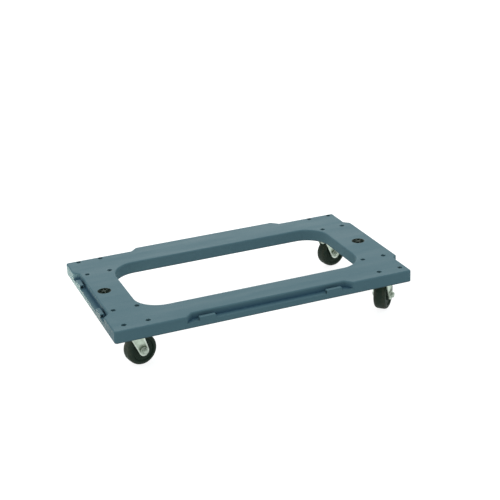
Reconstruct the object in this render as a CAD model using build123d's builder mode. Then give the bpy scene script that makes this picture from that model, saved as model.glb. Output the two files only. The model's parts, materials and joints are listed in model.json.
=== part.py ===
"""Platform trolley: an interlocking moulded deck frame on four swivel casters.

Axes: +X along the deck towards the lipped end, +Y across it towards the lipped side, +Z up.
The origin is on the floor under the middle of the deck.  All sizes are millimetres.
"""

import os
from math import cos, radians, sin, tan

from build123d import *

os.makedirs("parts", exist_ok=True)

# --- Deck: outline and walls ----------------------------------------------------------------
deck_length = 762.0  # over the end lip
deck_width = 457.2  # over the side lip
deck_height = 127.0  # floor to deck top
deck_thickness = 30.0  # deck top to skirt edge
deck_corner_radius = 6.0
top_edge_radius = 3.5
skirt_edge_break = 1.2  # chamfer
skin = 5.0  # top wall
wall = 5.0  # skirt and opening walls
rib = 3.5  # stiffening ribs under the skin
rib_rise = 3.0  # ribs stop this far above the skirt edge
rib_bays_along = 9
rib_bays_across = 4

# --- Deck: central opening ------------------------------------------------------------------
end_member = 92.5  # each end of the deck to the opening
side_member = 91.1  # each side of the deck to the opening
opening_corner_radius = 64.0

# --- Deck: half-lap interlock, lips on two sides and matching recesses on the other two ------
side_lip_reach = 17.5
side_lip_length = 383.0  # at its tip, before the 45 degree shoulders
end_lip_reach = 13.5
end_lip_length = 253.0
lip_wall = 3.0  # flange hanging at the tip of a lip
lap_clearance = 1.0  # between a lip and its recess, all round
ledge_drop = 16.0  # deck top to the floor of a recess
lap_corner_radius = 4.0

# --- Deck: hooded tabs that stand in the recesses --------------------------------------------
side_tab_length = 39.0
side_tab_inset = 31.5  # centre of a tab from the end of its lip
end_tab_length = 36.0
end_tab_inset = 35.0
tab_thickness = 10.0
tab_top_drop = 7.0  # deck top to tab top
tab_wall = 2.5
tab_edge_radius = 1.0

# --- Caster stations and fasteners ------------------------------------------------------------
station_end_inset = 59.0  # caster centres from the ends of the deck
station_side_inset = 70.1
bolt_pitch_x = 57.15
bolt_pitch_y = 85.7
boss_radius = 9.5
bolt_radius = 3.15
bolt_clearance = 0.35  # radial, in the deck and the plate
bolt_head_flats = 11.1
bolt_head_height = 4.4
bolt_pocket_clearance = 0.25  # each side of the hexagon
bolt_pocket_depth = 12.0
bolt_tip = 1.5  # thread standing past the nut
nut_height = 6.4

# --- Rope anchors: spoked inserts in the two end members --------------------------------------
anchor_end_inset = 41.6  # anchor centres from the ends of the deck
anchor_radius = 16.5
anchor_depth = 18.0
anchor_wall = 1.8
anchor_face = 4.0  # thickness of the spoked face
anchor_hub_radius = 4.6
anchor_spokes = 6
anchor_spoke_width = 2.2
anchor_seat = 3.0  # shoulder under the insert
anchor_sleeve = 4.0  # deck wall round the insert

# --- Casters ------------------------------------------------------------------------------
wheel_headroom = 8.8  # top of the wheel to the kingpin's foot
wheel_width = 31.75
swivel_lead = 17.0  # kingpin to axle, level
plate_length = 79.4
plate_width = 104.8
plate_thickness = 3.0
plate_corner_radius = 8.0
kingpin_radius = 5.5
kingpin_head_radius = 9.0
kingpin_head_height = 1.5
kingpin_foot_radius = 12.0
kingpin_foot_height = 3.4
running_fit = 0.08  # radial, shafts in their bores
press_fit = 0.05  # radial, pieces fixed in their holes
seat_gap = 0.3  # between pieces that turn past each other
race_height = 2.0
race_inner_radius = 14.0
race_outer_radius = 24.5
crown_radius = 27.0
fork_gauge = 3.0
fork_gap = 35.0  # between the legs
bend_radius = 3.5  # outside of the fold between crown and leg
leg_front = -17.0  # leg edges where they leave the crown, from the kingpin
leg_back = 15.0
leg_root_depth = 8.0  # upright part of those edges
leg_end_radius = 12.5  # round the axle
leg_rim = 3.0  # flat border round the pressed panel of a leg
leg_press = 1.0  # depth of that panel
axle_radius = 4.75
axle_hex_flats = 14.3
axle_head_height = 6.0
axle_nut_height = 8.5
axle_flange_radius = 9.5  # round the foot of the head and of the nut
axle_flange_height = 2.0
axle_tip = 1.0
sleeve_radius = 6.35
hub_radius = 14.5
hub_stand = 0.6  # hub face proud of the tread sides
rim_depth = 11.1  # thick part of the wheel, under the tread
web_recess = 4.0
tread_shoulder = 4.7  # chamfer

# Each caster: which way its station lies along X and Y, and where its wheel trails at rest
casters = {
    "front_left": (-1, -1, 12.0),
    "front_right": (1, -1, 45.0),
    "back_left": (-1, 1, 31.0),
    "back_right": (1, 1, 11.0),
}

# --- Dependent sizes --------------------------------------------------------------------------
skirt_z = deck_height - deck_thickness
skin_z = deck_height - skin
ledge_z = deck_height - ledge_drop
ledge_skin_z = ledge_z - skin
tab_top_z = deck_height - tab_top_drop
lip_depth = ledge_drop - lap_clearance
left_face = -deck_length / 2
right_face = deck_length / 2 - end_lip_reach
front_face = -deck_width / 2
back_face = deck_width / 2 - side_lip_reach
body_length = right_face - left_face
body_width = back_face - front_face
body_centre = ((left_face + right_face) / 2, (front_face + back_face) / 2)
side_recess_depth = side_lip_reach + lap_clearance
side_recess_length = side_lip_length + 2 * lap_clearance
end_recess_depth = end_lip_reach + lap_clearance
end_recess_length = end_lip_length + 2 * lap_clearance
miter = tan(radians(22.5))  # how far a 45 degree shoulder shifts for each unit of wall
opening_length = deck_length - 2 * end_member
opening_width = deck_width - 2 * side_member
station_x = deck_length / 2 - station_end_inset
station_y = deck_width / 2 - station_side_inset
anchor_x = deck_length / 2 - anchor_end_inset

rib_pitch_x = 2 * station_x / rib_bays_along
rib_pitch_y = (opening_width - 2 * opening_corner_radius) / rib_bays_across
side_tab_offset = side_lip_length / 2 - side_tab_inset
end_tab_offset = end_lip_length / 2 - end_tab_inset
tab_hollow = tab_thickness - 2 * tab_wall

bolt_hole_radius = bolt_radius + bolt_clearance
bolt_pocket_flats = bolt_head_flats + 2 * bolt_pocket_clearance
bolt_seat_z = deck_height - bolt_pocket_depth
anchor_z = deck_height - anchor_depth
anchor_bore_radius = anchor_radius + press_fit
stations = [(side_x * station_x, side_y * station_y) for side_x, side_y, _ in casters.values()]
anchors = {"rope_anchor_left": -anchor_x, "rope_anchor_right": anchor_x}

plate_z = skirt_z - plate_thickness
nut_z = plate_z - nut_height
race_z = plate_z - race_height
crown_z = race_z - seat_gap
crown_under_z = crown_z - fork_gauge
kingpin_foot_z = crown_under_z - seat_gap
wheel_radius = (kingpin_foot_z - kingpin_foot_height - wheel_headroom) / 2
rim_inner_radius = wheel_radius - rim_depth
axle_z = wheel_radius
leg_outer = fork_gap / 2 + fork_gauge
axle_seat = leg_outer - leg_press  # the axle head and nut bear on the pressed panels
half_tread = wheel_width / 2
hub_face = half_tread + hub_stand
web_face = half_tread - web_recess


def lap_outline(face, reach, length, grow=0.0):
    """Corners of a lip or a recess seen from above, on the face at distance `face` along +Y.

    The straight part is `length` long at `reach` from the face, between 45 degree shoulders.
    `grow` moves the straight part and both shoulders outwards by that much.
    """
    half = length / 2 + grow * miter
    depth = reach + grow
    return [
        (-half - depth, face),
        (half + depth, face),
        (half, face + depth),
        (-half, face + depth),
    ]


def turned(points):
    """The same outline laid on an end of the deck: along Y instead of X."""
    return [(y, x) for x, y in points]


def lines_within(limit, count, pitch):
    """How many of a row of evenly spaced lines, centred on zero, lie nearer to it than `limit`."""
    return len([i for i in range(count) if abs(i - (count - 1) / 2) * pitch < limit])


def tab_places(inset):
    """Where the two tabs of the side recess and the two of the end recess stand."""
    side = [(x, front_face + inset) for x in (-side_tab_offset, side_tab_offset)]
    end = [(left_face + inset, y) for y in (-end_tab_offset, end_tab_offset)]
    return side, end


def save(builder, label):
    """Labels a finished piece and writes its STEP file."""
    builder.part.label = label
    export_step(builder.part, f"parts/{label}.step")


# --- Deck -------------------------------------------------------------------------------------
side_recess = (front_face, side_recess_depth, side_recess_length)
end_recess = (left_face, end_recess_depth, end_recess_length)
side_lip = (back_face, side_lip_reach, side_lip_length)
end_lip = (right_face, end_lip_reach, end_lip_length)
side_lip_ribs = lines_within(side_tab_offset - side_tab_length / 2, rib_bays_along + 1, rib_pitch_x)
end_lip_ribs = lines_within(end_tab_offset - end_tab_length / 2, rib_bays_across + 1, rib_pitch_y)
side_tabs, end_tabs = tab_places(tab_thickness / 2)

# Hollow seen from below: between the skirt and the wall round the opening
with BuildSketch() as lower_hollow:
    with Locations(body_centre):
        Rectangle(body_length - 2 * wall, body_width - 2 * wall)
    RectangleRounded(
        opening_length + 2 * wall,
        opening_width + 2 * wall,
        opening_corner_radius + wall,
        mode=Mode.SUBTRACT,
    )

# Above the ledges the hollow stands back behind the recess walls
with BuildSketch() as upper_hollow:
    add(lower_hollow.sketch)
    Polygon(*lap_outline(*side_recess, wall), align=None, mode=Mode.SUBTRACT)
    Polygon(*turned(lap_outline(*end_recess, wall)), align=None, mode=Mode.SUBTRACT)

# Rib lines: a grid over the whole deck, with a frame through the bolts of each caster
with BuildSketch() as rib_lines:
    with GridLocations(rib_pitch_x, 0, rib_bays_along + 1, 1):
        Rectangle(rib, deck_width)
    with GridLocations(0, rib_pitch_y, 1, rib_bays_across + 1):
        Rectangle(deck_length, rib)
    with GridLocations(0, 2 * station_y, 1, 2):
        Rectangle(deck_length, rib)
    with Locations(*stations):
        with GridLocations(0, bolt_pitch_y, 1, 2):
            Rectangle(bolt_pitch_x, rib)
        with GridLocations(bolt_pitch_x, 0, 2, 1):
            Rectangle(rib, bolt_pitch_y)
    with Locations(*[(x, 0) for x in anchors.values()]):
        Circle(anchor_bore_radius + anchor_sleeve)

with BuildPart() as deck:
    # Body
    with BuildSketch(Plane.XY.offset(skirt_z)):
        with Locations(body_centre):
            RectangleRounded(body_length, body_width, deck_corner_radius)
    extrude(amount=deck_thickness)
    # Lips on the back and on the right-hand end, flush with the deck top
    with BuildSketch(Plane.XY.offset(deck_height - lip_depth)):
        Polygon(*lap_outline(*side_lip), align=None)
        Polygon(*turned(lap_outline(*end_lip)), align=None)
    extrude(amount=lip_depth)
    # Matching recesses in the front and in the left-hand end
    with BuildSketch(Plane.XY.offset(ledge_z)):
        Polygon(*lap_outline(*side_recess), align=None)
        Polygon(*turned(lap_outline(*end_recess)), align=None)
    extrude(amount=ledge_drop, mode=Mode.SUBTRACT)
    # Central opening
    with BuildSketch(Plane.XY.offset(skirt_z)):
        RectangleRounded(opening_length, opening_width, opening_corner_radius)
    extrude(amount=deck_thickness, mode=Mode.SUBTRACT)
    # Soft edges: upright corners of the laps, the rim of the deck top and that of the skirt
    upright = deck.edges().filter_by(Axis.Z).filter_by(GeomType.LINE)
    fillet([e for e in upright if e.length < deck_thickness - 1], lap_corner_radius)
    fillet(deck.faces().sort_by(Axis.Z)[-1].edges(), top_edge_radius)
    chamfer(deck.faces().sort_by(Axis.Z)[0].edges(), skirt_edge_break)
    # Hollow underside
    with BuildSketch(Plane.XY.offset(skirt_z)):
        add(lower_hollow.sketch)
    extrude(amount=ledge_skin_z - skirt_z, mode=Mode.SUBTRACT)
    with BuildSketch(Plane.XY.offset(ledge_skin_z)):
        add(upper_hollow.sketch)
    extrude(amount=skin_z - ledge_skin_z, mode=Mode.SUBTRACT)
    # Ribs and anchor sleeves
    with BuildSketch(Plane.XY.offset(skirt_z + rib_rise)):
        add(rib_lines.sketch)
        add(lower_hollow.sketch, mode=Mode.INTERSECT)
    extrude(amount=ledge_skin_z - skirt_z - rib_rise)
    with BuildSketch(Plane.XY.offset(ledge_skin_z)):
        add(rib_lines.sketch)
        add(upper_hollow.sketch, mode=Mode.INTERSECT)
    extrude(amount=skin_z - ledge_skin_z)
    # Bolt bosses, level with the skirt edge
    with BuildSketch(Plane.XY.offset(skirt_z)):
        with Locations(*stations):
            with GridLocations(bolt_pitch_x, bolt_pitch_y, 2, 2):
                Circle(boss_radius)
        add(lower_hollow.sketch, mode=Mode.INTERSECT)
    extrude(amount=skin_z - skirt_z)
    # Bolt holes, with hexagonal pockets for the heads
    with BuildSketch(Plane.XY.offset(skirt_z)):
        with Locations(*stations):
            with GridLocations(bolt_pitch_x, bolt_pitch_y, 2, 2):
                Circle(bolt_hole_radius)
    extrude(amount=deck_thickness, mode=Mode.SUBTRACT)
    with BuildSketch(Plane.XY.offset(bolt_seat_z)):
        with Locations(*stations):
            with GridLocations(bolt_pitch_x, bolt_pitch_y, 2, 2):
                RegularPolygon(bolt_pocket_flats / 2, 6, major_radius=False)
    extrude(amount=bolt_pocket_depth, mode=Mode.SUBTRACT)
    # Stepped sockets for the rope anchors
    with BuildSketch(Plane.XY.offset(anchor_z)):
        with Locations(*[(x, 0) for x in anchors.values()]):
            Circle(anchor_bore_radius)
    extrude(amount=anchor_depth, mode=Mode.SUBTRACT)
    with BuildSketch(Plane.XY.offset(skirt_z)):
        with Locations(*[(x, 0) for x in anchors.values()]):
            Circle(anchor_bore_radius - anchor_seat)
    extrude(amount=deck_thickness, mode=Mode.SUBTRACT)
    # Pockets under the lips for a neighbour's tabs, with ribs clear of where the tabs come
    with BuildSketch(Plane.XY.offset(deck_height - lip_depth)):
        Polygon(*lap_outline(*side_lip, -lip_wall), align=None)
        Polygon(*turned(lap_outline(*end_lip, -lip_wall)), align=None)
        with GridLocations(rib_pitch_x, 0, side_lip_ribs, 1):
            Rectangle(rib, 2 * deck_width, mode=Mode.SUBTRACT)
        with GridLocations(0, rib_pitch_y, 1, end_lip_ribs):
            Rectangle(2 * deck_length, rib, mode=Mode.SUBTRACT)
    extrude(amount=lip_depth - skin, mode=Mode.SUBTRACT)
    # Tabs: hoods standing on the ledges, flush with the outer faces and open at both ends
    with BuildSketch(Plane.XY.offset(ledge_skin_z)):
        with Locations(*side_tabs):
            Rectangle(side_tab_length, tab_thickness)
        with Locations(*end_tabs):
            Rectangle(tab_thickness, end_tab_length)
    extrude(amount=tab_top_z - ledge_skin_z)
    tab_edges = deck.edges().filter_by(GeomType.LINE).filter_by_position(Axis.Z, tab_top_z, tab_top_z)
    fillet(tab_edges, tab_edge_radius)
    with BuildSketch(Plane.XY.offset(ledge_z)):
        with Locations(*side_tabs):
            Rectangle(side_tab_length, tab_hollow)
        with Locations(*end_tabs):
            Rectangle(tab_hollow, end_tab_length)
    extrude(amount=tab_top_z - tab_wall - ledge_z, mode=Mode.SUBTRACT)

save(deck, "deck")

# --- Rope anchors -----------------------------------------------------------------------------
for label, x in anchors.items():
    with BuildPart() as rope_anchor:
        # Outer ring
        with BuildSketch(Plane.XY.offset(anchor_z)):
            with Locations((x, 0)):
                Circle(anchor_radius)
                Circle(anchor_radius - anchor_wall, mode=Mode.SUBTRACT)
        extrude(amount=anchor_depth)
        # Hub and spokes, level with the deck top
        with BuildSketch(Plane.XY.offset(deck_height - anchor_face)):
            with Locations((x, 0)):
                Circle(anchor_hub_radius)
                with PolarLocations(0, anchor_spokes, start_angle=90):
                    Rectangle(
                        anchor_radius - anchor_wall / 2,
                        anchor_spoke_width,
                        align=(Align.MIN, Align.CENTER),
                    )
        extrude(amount=anchor_face)
    save(rope_anchor, label)

# --- Casters ----------------------------------------------------------------------------------
for caster, (side_x, side_y, trail) in casters.items():
    # Frames of one caster: level at the floor under the kingpin, across the wheel, and
    # upright along the wheel's side, the last also standing on the axle
    swivel = Plane(
        origin=(side_x * station_x, side_y * station_y, 0),
        x_dir=(cos(radians(trail)), sin(radians(trail)), 0),
        z_dir=(0, 0, 1),
    )
    across = Plane(origin=swivel.origin, x_dir=swivel.y_dir, z_dir=swivel.x_dir)
    upright = Plane(origin=swivel.origin, x_dir=swivel.x_dir, z_dir=-swivel.y_dir)
    axle_origin = swivel.from_local_coords((swivel_lead, 0, axle_z))
    axle = Plane(origin=axle_origin, x_dir=swivel.x_dir, z_dir=-swivel.y_dir)
    station = Plane(origin=swivel.origin, x_dir=(1, 0, 0), z_dir=(0, 0, 1))

    with BuildPart() as caster_plate:
        with BuildSketch(station.offset(plate_z)):
            RectangleRounded(plate_length, plate_width, plate_corner_radius)
            Circle(kingpin_radius + press_fit, mode=Mode.SUBTRACT)
            with GridLocations(bolt_pitch_x, bolt_pitch_y, 2, 2):
                Circle(bolt_hole_radius, mode=Mode.SUBTRACT)
        extrude(amount=plate_thickness)
    save(caster_plate, f"{caster}_plate")

    with BuildPart() as mounting_bolts:
        # Hexagon heads in the deck pockets
        with BuildSketch(station.offset(bolt_seat_z)):
            with GridLocations(bolt_pitch_x, bolt_pitch_y, 2, 2):
                RegularPolygon(bolt_head_flats / 2, 6, major_radius=False)
        extrude(amount=bolt_head_height)
        # Shanks down through the deck, the plate and the nuts
        with BuildSketch(station.offset(nut_z - bolt_tip)):
            with GridLocations(bolt_pitch_x, bolt_pitch_y, 2, 2):
                Circle(bolt_radius)
        extrude(amount=bolt_seat_z - nut_z + bolt_tip)
    save(mounting_bolts, f"{caster}_mounting_bolts")

    with BuildPart() as mounting_nuts:
        with BuildSketch(station.offset(nut_z)):
            with GridLocations(bolt_pitch_x, bolt_pitch_y, 2, 2):
                RegularPolygon(bolt_head_flats / 2, 6, major_radius=False)
                Circle(bolt_radius + press_fit, mode=Mode.SUBTRACT)
        extrude(amount=nut_height)
    save(mounting_nuts, f"{caster}_mounting_nuts")

    with BuildPart() as kingpin:
        # Head riveted over the plate, shank, and the foot that carries the fork
        with BuildSketch(swivel.offset(skirt_z)):
            Circle(kingpin_head_radius)
        extrude(amount=kingpin_head_height)
        with BuildSketch(swivel.offset(kingpin_foot_z)):
            Circle(kingpin_radius)
        extrude(amount=skirt_z - kingpin_foot_z)
        with BuildSketch(swivel.offset(kingpin_foot_z)):
            Circle(kingpin_foot_radius)
        extrude(amount=-kingpin_foot_height)
    save(kingpin, f"{caster}_kingpin")

    with BuildPart() as ball_race:
        with BuildSketch(swivel.offset(race_z)):
            Circle(race_outer_radius)
            Circle(race_inner_radius, mode=Mode.SUBTRACT)
        extrude(amount=race_height)
    save(ball_race, f"{caster}_ball_race")

    with BuildPart() as fork:
        # Strip folded into a crown and two legs
        with BuildSketch(across):
            with BuildLine():
                legs = Polyline(
                    (-leg_outer, 0), (-leg_outer, crown_z), (leg_outer, crown_z), (leg_outer, 0), close=True
                )
                fillet(legs.vertices().group_by(Axis.Y)[-1], bend_radius)
            make_face()
        extrude(amount=crown_radius + leg_end_radius, both=True)
        with BuildSketch(across):
            with BuildLine():
                inside = Polyline(
                    (-fork_gap / 2, 0),
                    (-fork_gap / 2, crown_under_z),
                    (fork_gap / 2, crown_under_z),
                    (fork_gap / 2, 0),
                    close=True,
                )
                fillet(inside.vertices().group_by(Axis.Y)[-1], bend_radius - fork_gauge)
            make_face()
        extrude(amount=crown_radius + leg_end_radius, both=True, mode=Mode.SUBTRACT)
        # Tapering side outline with a rounded end at the axle
        with BuildSketch(upright):
            with Locations(((leg_front + leg_back) / 2, crown_z)):
                Rectangle(leg_back - leg_front, leg_root_depth, align=(Align.CENTER, Align.MAX))
            with Locations((swivel_lead, axle_z)):
                Circle(leg_end_radius)
            make_hull()
        extrude(amount=leg_outer, both=True, mode=Mode.INTERSECT)
        # Round crown over the legs
        with BuildSketch(swivel.offset(crown_under_z)):
            Circle(crown_radius)
        extrude(amount=fork_gauge)
        # Pressed panels in both legs
        for side in (-1, 1):
            with BuildSketch(upright.offset(side * leg_outer)):
                with Locations(((leg_front + leg_back) / 2, crown_under_z - leg_rim)):
                    Rectangle(
                        leg_back - leg_front - 2 * leg_rim,
                        leg_root_depth - leg_rim,
                        align=(Align.CENTER, Align.MAX),
                    )
                with Locations((swivel_lead, axle_z)):
                    Circle(leg_end_radius - leg_rim)
                make_hull()
            extrude(amount=-side * leg_press, mode=Mode.SUBTRACT)
        # Kingpin and axle holes
        with BuildSketch(swivel.offset(crown_under_z)):
            Circle(kingpin_radius + running_fit)
        extrude(amount=fork_gauge, mode=Mode.SUBTRACT)
        with BuildSketch(axle):
            Circle(axle_radius + press_fit)
        extrude(amount=leg_outer, both=True, mode=Mode.SUBTRACT)
    save(fork, f"{caster}_fork")

    with BuildPart() as axle_bolt:
        # Flanged hexagon head on one leg, shank through to past the nut
        with BuildSketch(axle.offset(-axle_seat)):
            RegularPolygon(axle_hex_flats / 2, 6, major_radius=False)
        extrude(amount=-axle_head_height)
        with BuildSketch(axle.offset(-axle_seat)):
            Circle(axle_flange_radius)
        extrude(amount=-axle_flange_height)
        with BuildSketch(axle.offset(-axle_seat)):
            Circle(axle_radius)
        extrude(amount=2 * axle_seat + axle_nut_height + axle_tip)
    save(axle_bolt, f"{caster}_axle_bolt")

    with BuildPart() as axle_nut:
        # Flanged hexagon nut on the other leg
        with BuildSketch(axle.offset(axle_seat)):
            RegularPolygon(axle_hex_flats / 2, 6, major_radius=False)
        extrude(amount=axle_nut_height)
        with BuildSketch(axle.offset(axle_seat)):
            Circle(axle_flange_radius)
        extrude(amount=axle_flange_height)
        with BuildSketch(axle.offset(axle_seat)):
            Circle(axle_radius + press_fit)
        extrude(amount=axle_nut_height, mode=Mode.SUBTRACT)
    save(axle_nut, f"{caster}_axle_nut")

    with BuildPart() as axle_sleeve:
        with BuildSketch(axle):
            Circle(sleeve_radius)
            Circle(axle_radius + press_fit, mode=Mode.SUBTRACT)
        extrude(amount=fork_gap / 2, both=True)
    save(axle_sleeve, f"{caster}_axle_sleeve")

    with BuildPart() as wheel:
        # Section of tread, web and hub, turned about the axle
        half_section = [
            (sleeve_radius + running_fit, hub_face),
            (hub_radius, hub_face),
            (hub_radius, web_face),
            (rim_inner_radius, web_face),
            (rim_inner_radius, half_tread),
            (wheel_radius - tread_shoulder, half_tread),
            (wheel_radius, half_tread - tread_shoulder),
        ]
        other_half = [(radius, -side) for radius, side in reversed(half_section)]
        with BuildSketch(Plane(origin=axle_origin, x_dir=swivel.x_dir, z_dir=swivel.z_dir)):
            Polygon(*half_section, *other_half, align=None)
        revolve(axis=Axis(axle_origin, swivel.y_dir))
    save(wheel, f"{caster}_wheel")
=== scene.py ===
"""Finishes, detailed running gear and studio stage for an interlocking platform trolley.

Everything is in metres in the trolley's own frame: +X along the deck, +Y across it, +Z up,
with the origin on the floor under the middle of the deck.
"""

import json
import math

import bpy
import bmesh
import numpy as np
from bpy.props import FloatProperty, FloatVectorProperty, IntProperty, PointerProperty
from mathutils import Matrix, Vector


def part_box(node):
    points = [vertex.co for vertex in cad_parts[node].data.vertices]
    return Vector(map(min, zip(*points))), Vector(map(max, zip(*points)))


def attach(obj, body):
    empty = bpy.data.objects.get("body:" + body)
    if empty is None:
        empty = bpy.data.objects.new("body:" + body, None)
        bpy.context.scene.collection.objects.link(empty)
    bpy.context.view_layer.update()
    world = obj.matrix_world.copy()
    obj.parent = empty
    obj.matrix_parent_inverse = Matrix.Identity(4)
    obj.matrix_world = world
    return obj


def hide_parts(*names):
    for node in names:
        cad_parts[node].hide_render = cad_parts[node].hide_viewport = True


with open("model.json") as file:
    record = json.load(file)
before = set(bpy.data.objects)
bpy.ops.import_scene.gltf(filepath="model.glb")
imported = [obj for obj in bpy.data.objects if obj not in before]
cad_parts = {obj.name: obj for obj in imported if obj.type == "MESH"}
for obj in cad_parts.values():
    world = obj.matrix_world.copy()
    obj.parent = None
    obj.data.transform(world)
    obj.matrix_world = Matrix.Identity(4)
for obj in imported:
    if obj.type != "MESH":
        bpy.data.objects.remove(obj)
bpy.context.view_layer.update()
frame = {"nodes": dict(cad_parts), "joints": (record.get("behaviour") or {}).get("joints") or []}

bl_info = {
    "name": "Platform Trolley",
    "version": (1, 0, 0),
    "blender": (4, 5, 0),
    "location": "3D View > Sidebar > Trolley",
    "description": "Finishes, running gear and stage for an interlocking platform trolley",
    "category": "Object",
}

CASTERS = ("front_left", "front_right", "back_left", "back_right")
ROOT_BODY = "frame"
MM = 0.001
UP = Vector((0, 0, 1))


# --- Sizes and colours a user would change ------------


def colour_property(name, description, default):
    """A linear RGB colour swatch."""
    return FloatVectorProperty(
        name=name, description=description, default=default, subtype="COLOR", size=3, min=0, max=1
    )


def length_property(name, description, millimetres):
    """A length, given in millimetres and kept in metres."""
    return FloatProperty(
        name=name, description=description, default=millimetres * MM, unit="LENGTH", min=0
    )


def share_property(name, description, default):
    """A share between 0 and 1."""
    return FloatProperty(
        name=name, description=description, default=default, min=0, max=1, subtype="FACTOR"
    )


def angle_property(name, description, degrees):
    """An angle, given in degrees and kept in radians."""
    return FloatProperty(
        name=name, description=description, default=math.radians(degrees), unit="ROTATION"
    )


def power_property(name, description, watts):
    """The power of a lamp."""
    return FloatProperty(name=name, description=description, default=watts, unit="POWER")


class TrolleyPlasticFinish(bpy.types.PropertyGroup):
    """Moulded deck and rope anchors."""

    deck: colour_property("Deck", "Slate blue of the moulded deck", (0.079, 0.152, 0.178))
    deck_pale: colour_property("Deck scuffs", "Paler scuffs and specks", (0.14, 0.225, 0.25))
    deck_deep: colour_property("Deck streaks", "Darker swirls and streaks", (0.063, 0.13, 0.157))
    anchor: colour_property("Anchor", "Near-black of the rope anchors", (0.012, 0.024, 0.018))
    # Painted shade: the next three values darken the foot of the recesses' walls, where shade
    # falls, towards a bluer colour.
    deck_painted_shade: colour_property("Grime colour", "Grime in the corners", (0.018, 0.07, 0.125))
    painted_dark: share_property("Grime", "How much grime the corners hold", 0.6)
    painted_dark_reach: length_property("Grime reach", "How far the grime spreads from a corner", 13.0)
    side_recess: length_property("Side recess", "Depth of the side recess behind the face", 18.5)
    side_recess_length: length_property("Side recess length", "Length of its straight wall", 385.0)
    end_recess: length_property("End recess", "Depth of the end recess behind the face", 14.5)
    end_recess_length: length_property("End recess length", "Length of its straight wall", 255.0)
    ledge_drop: length_property("Ledge drop", "Deck top to the ledges", 16.0)
    # Painted shade: the next three values darken a low band on the skirt's foot, where its chamfer
    # lies in shade.
    skirt_painted_shade: colour_property("Skirt dirt", "Dirt on the skirt's foot", (0.022, 0.024, 0.026))
    skirt_shade_share: share_property("Skirt dirt share", "How thick that dirt is", 0.45)
    skirt_band: length_property("Skirt band", "Height of that dirt", 3.2)
    grain: length_property("Grain", "Size of the fine grain of the mould", 0.9)
    roughness: share_property("Roughness", "How matte the deck is", 0.72)


class TrolleyMetalFinish(bpy.types.PropertyGroup):
    """Zinc-plated steel of the casters and fasteners."""

    zinc: colour_property("Zinc", "Bright zinc of the pressed steel", (0.56, 0.66, 0.55))
    zinc_dull: colour_property("Dull zinc", "Greyer patches of the plating", (0.36, 0.43, 0.35))
    fastener: colour_property("Fastener", "Zinc of nuts and bolts", (0.45, 0.52, 0.45))
    bare: colour_property("Ground steel", "Bare steel of balls and sleeves", (0.5, 0.5, 0.5))
    # Painted highlight: a paler zinc laid on the legs' raised borders.
    painted_border_highlight: colour_property("Worn zinc", "The legs' raised borders", (0.78, 0.86, 0.78))
    # Painted dark reflection: the next three values darken the legs round their axles, most above
    # them.
    painted_dark: colour_property("Grime", "Oily grime round the axles", (0.06, 0.09, 0.045))
    painted_dark_core: length_property("Grime core", "Radius in which that grime is full", 12.0)
    painted_dark_reach: length_property("Grime reach", "Radius at which that grime ends", 21.0)
    panel: length_property("Panel", "Wheel's middle to the face of a leg's panel", 19.5)


class TrolleyWheelShape(bpy.types.PropertyGroup):
    """Section of a wheel and its finish."""

    radius: length_property("Radius", "Tread radius", 38.1)
    half_width: length_property("Half width", "Half the width over the tread's sides", 15.875)
    shoulder: length_property("Shoulder", "Radius of the rounded tread shoulders", 8.0)
    crown: length_property("Crown", "How far the tread falls towards its shoulders", 0.35)
    rim: length_property("Rim", "Inner radius of the thick rim", 27.0)
    web: length_property("Web recess", "How far the web lies below the sides", 4.0)
    hub: length_property("Hub", "Radius of the hub boss", 14.5)
    hub_stand: length_property("Hub stand", "How far the hub stands proud of the sides", 0.6)
    bore: length_property("Bore", "Radius of the bore", 6.43)
    rubber: colour_property("Rubber", "Near-black of the wheel", (0.017, 0.034, 0.023))
    dust: colour_property("Dust", "Grey-brown dust on the tread", (0.075, 0.074, 0.054))
    segments: IntProperty(name="Segments", description="Steps round the wheel", default=96, min=24)


class TrolleyFastenerShape(bpy.types.PropertyGroup):
    """Bolts, nuts and their threads."""

    deck_flats: length_property("Deck bolt flats", "Across flats of deck bolts and nuts", 11.1)
    deck_head: length_property("Deck bolt head", "Height of a deck bolt's head", 4.4)
    deck_shank: length_property("Deck bolt radius", "Radius of a deck bolt", 3.15)
    axle_flats: length_property("Axle flats", "Across flats of the axle's head and nut", 14.3)
    axle_head: length_property("Axle head", "Height of the axle's head over its flange", 4.0)
    axle_flange: length_property("Axle flange", "Radius of the head's and nut's flange", 9.5)
    axle_flange_height: length_property("Axle flange height", "Height of that flange", 2.0)
    axle_shank: length_property("Axle radius", "Radius of the axle", 4.75)
    pitch: length_property("Thread pitch", "Pitch of the threads", 1.25)
    collar: share_property("Collar", "Share of a lock nut's height that is round collar", 0.34)


class TrolleyBearingShape(bpy.types.PropertyGroup):
    """Balls and cage between the plate and the fork."""

    pitch_radius: length_property("Pitch radius", "Radius of the circle the balls run on", 22.4)
    ball: length_property("Ball radius", "Radius of one ball", 0.95)
    cage: length_property("Cage", "Half the width of the cage ring", 1.5)
    balls: IntProperty(name="Balls", description="Balls in one race", default=44, min=6)


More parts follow.
